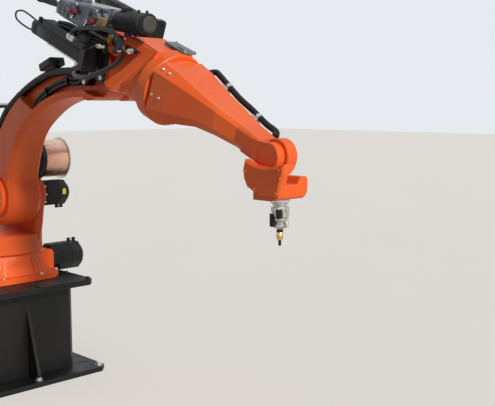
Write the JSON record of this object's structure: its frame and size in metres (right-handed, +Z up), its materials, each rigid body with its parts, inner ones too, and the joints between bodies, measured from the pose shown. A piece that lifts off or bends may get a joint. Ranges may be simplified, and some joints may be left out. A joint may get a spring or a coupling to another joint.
{
  "type": "industrial welding robot arm on a plinth",
  "caption": "Six-axis orange welding robot arm with a bowed link arm, tapered forearm, hooked wrist, wire feeder, wire spool and torch, bolted to a black plinth.",
  "frame": {"origin": "on the ground, at the centre of the plinth's foot plate and under the turning axis of the turret", "axes": "+Z up along the turning axis, +X forward along the arm as it stands, +Y to the arm's left, the motors' side"},
  "size_m": [2.8877, 0.9633, 2.1869],
  "materials": {
    "orange_paint": "semi-gloss orange enamel on castings",
    "black_paint": "satin black enamel",
    "black_rubber": "matt hose rubber",
    "bright_steel": "bright machined steel",
    "grey_alloy": "grey cast alloy",
    "red_plastic": "moulded red plastic",
    "copper_wire": "bright copper-coated wire",
    "brass": "turned brass"
  },
  "bodies": {
    "base": {"plinth_foot_plate": "black_paint", "plinth_column": "black_paint", "plinth_deck": "black_paint", "base_casting": "orange_paint", "base_motor": "black_paint", "socket_panel": "grey_alloy"},
    "turret": {"turret": "orange_paint", "shoulder_motor": "black_paint", "spool_bracket": "black_paint"},
    "wire_spool": {"spool_inner_flange": "black_paint", "spool_wire": "copper_wire", "spool_outer_flange": "grey_alloy"},
    "link_arm": {"link_arm": "orange_paint", "shoulder_cover": "orange_paint", "upper_hose": "black_rubber", "lower_hose": "black_rubber", "elbow_hose_clamp": "black_paint", "lower_hose_clamp": "bright_steel", "hose_gland": "black_paint"},
    "arm_housing": {"arm_housing": "orange_paint", "elbow_motor": "black_paint", "wrist_motor_a4": "black_paint", "wrist_motor_a5": "black_paint", "wrist_motor_a6": "black_paint", "feeder_bracket": "grey_alloy", "feeder_body": "grey_alloy", "feeder_knob_1": "red_plastic", "feeder_knob_2": "red_plastic", "feeder_motor": "black_paint", "wire_inlet": "black_rubber", "arched_hose": "black_rubber", "cover_strip": "grey_alloy", "arch_fitting": "grey_alloy"},
    "forearm": {"forearm": "orange_paint", "forearm_conduit": "black_rubber", "conduit_clamp_1": "grey_alloy", "conduit_clamp_2": "grey_alloy"},
    "wrist": {"wrist_housing": "orange_paint"},
    "flange": {"flange_disc": "bright_steel", "torch_mount": "black_paint", "torch_body": "grey_alloy", "torch_nozzle": "brass", "torch_tip": "black_paint"}
  },
  "joints": [
    {"name": "turret_turn", "type": "hinge", "parent": "base", "child": "turret", "pos_m": [0, 0, 0.735], "axis": [0, 0, 1], "range_deg": [-170, 170]},
    {"name": "spool_turn", "type": "hinge", "parent": "turret", "child": "wire_spool", "pos_m": [0.1, 0.2, 1.28], "axis": [0, 1, 0], "continuous": true},
    {"name": "shoulder_swing", "type": "hinge", "parent": "turret", "child": "link_arm", "pos_m": [0.175, 0, 1.08], "axis": [0, 1, 0], "range_deg": [-95, 28]},
    {"name": "elbow_swing", "type": "hinge", "parent": "link_arm", "child": "arm_housing", "pos_m": [1.09021, 0, 1.7597], "axis": [0, -1, 0], "range_deg": [-80, 50]},
    {"name": "forearm_roll", "type": "hinge", "parent": "arm_housing", "child": "forearm", "pos_m": [1.65439, 0, 1.66118], "axis": [0.9272, 0, -0.3746], "range_deg": [-170, 170]},
    {"name": "wrist_bend", "type": "hinge", "parent": "forearm", "child": "wrist", "pos_m": [2.29971, 0, 1.40045], "axis": [0, 1, 0], "range_deg": [-150, 25]},
    {"name": "flange_turn", "type": "hinge", "parent": "wrist", "child": "flange", "pos_m": [2.29971, 0, 1.22945], "axis": [0, 0, -1], "range_deg": [-300, 300]}
  ]
}
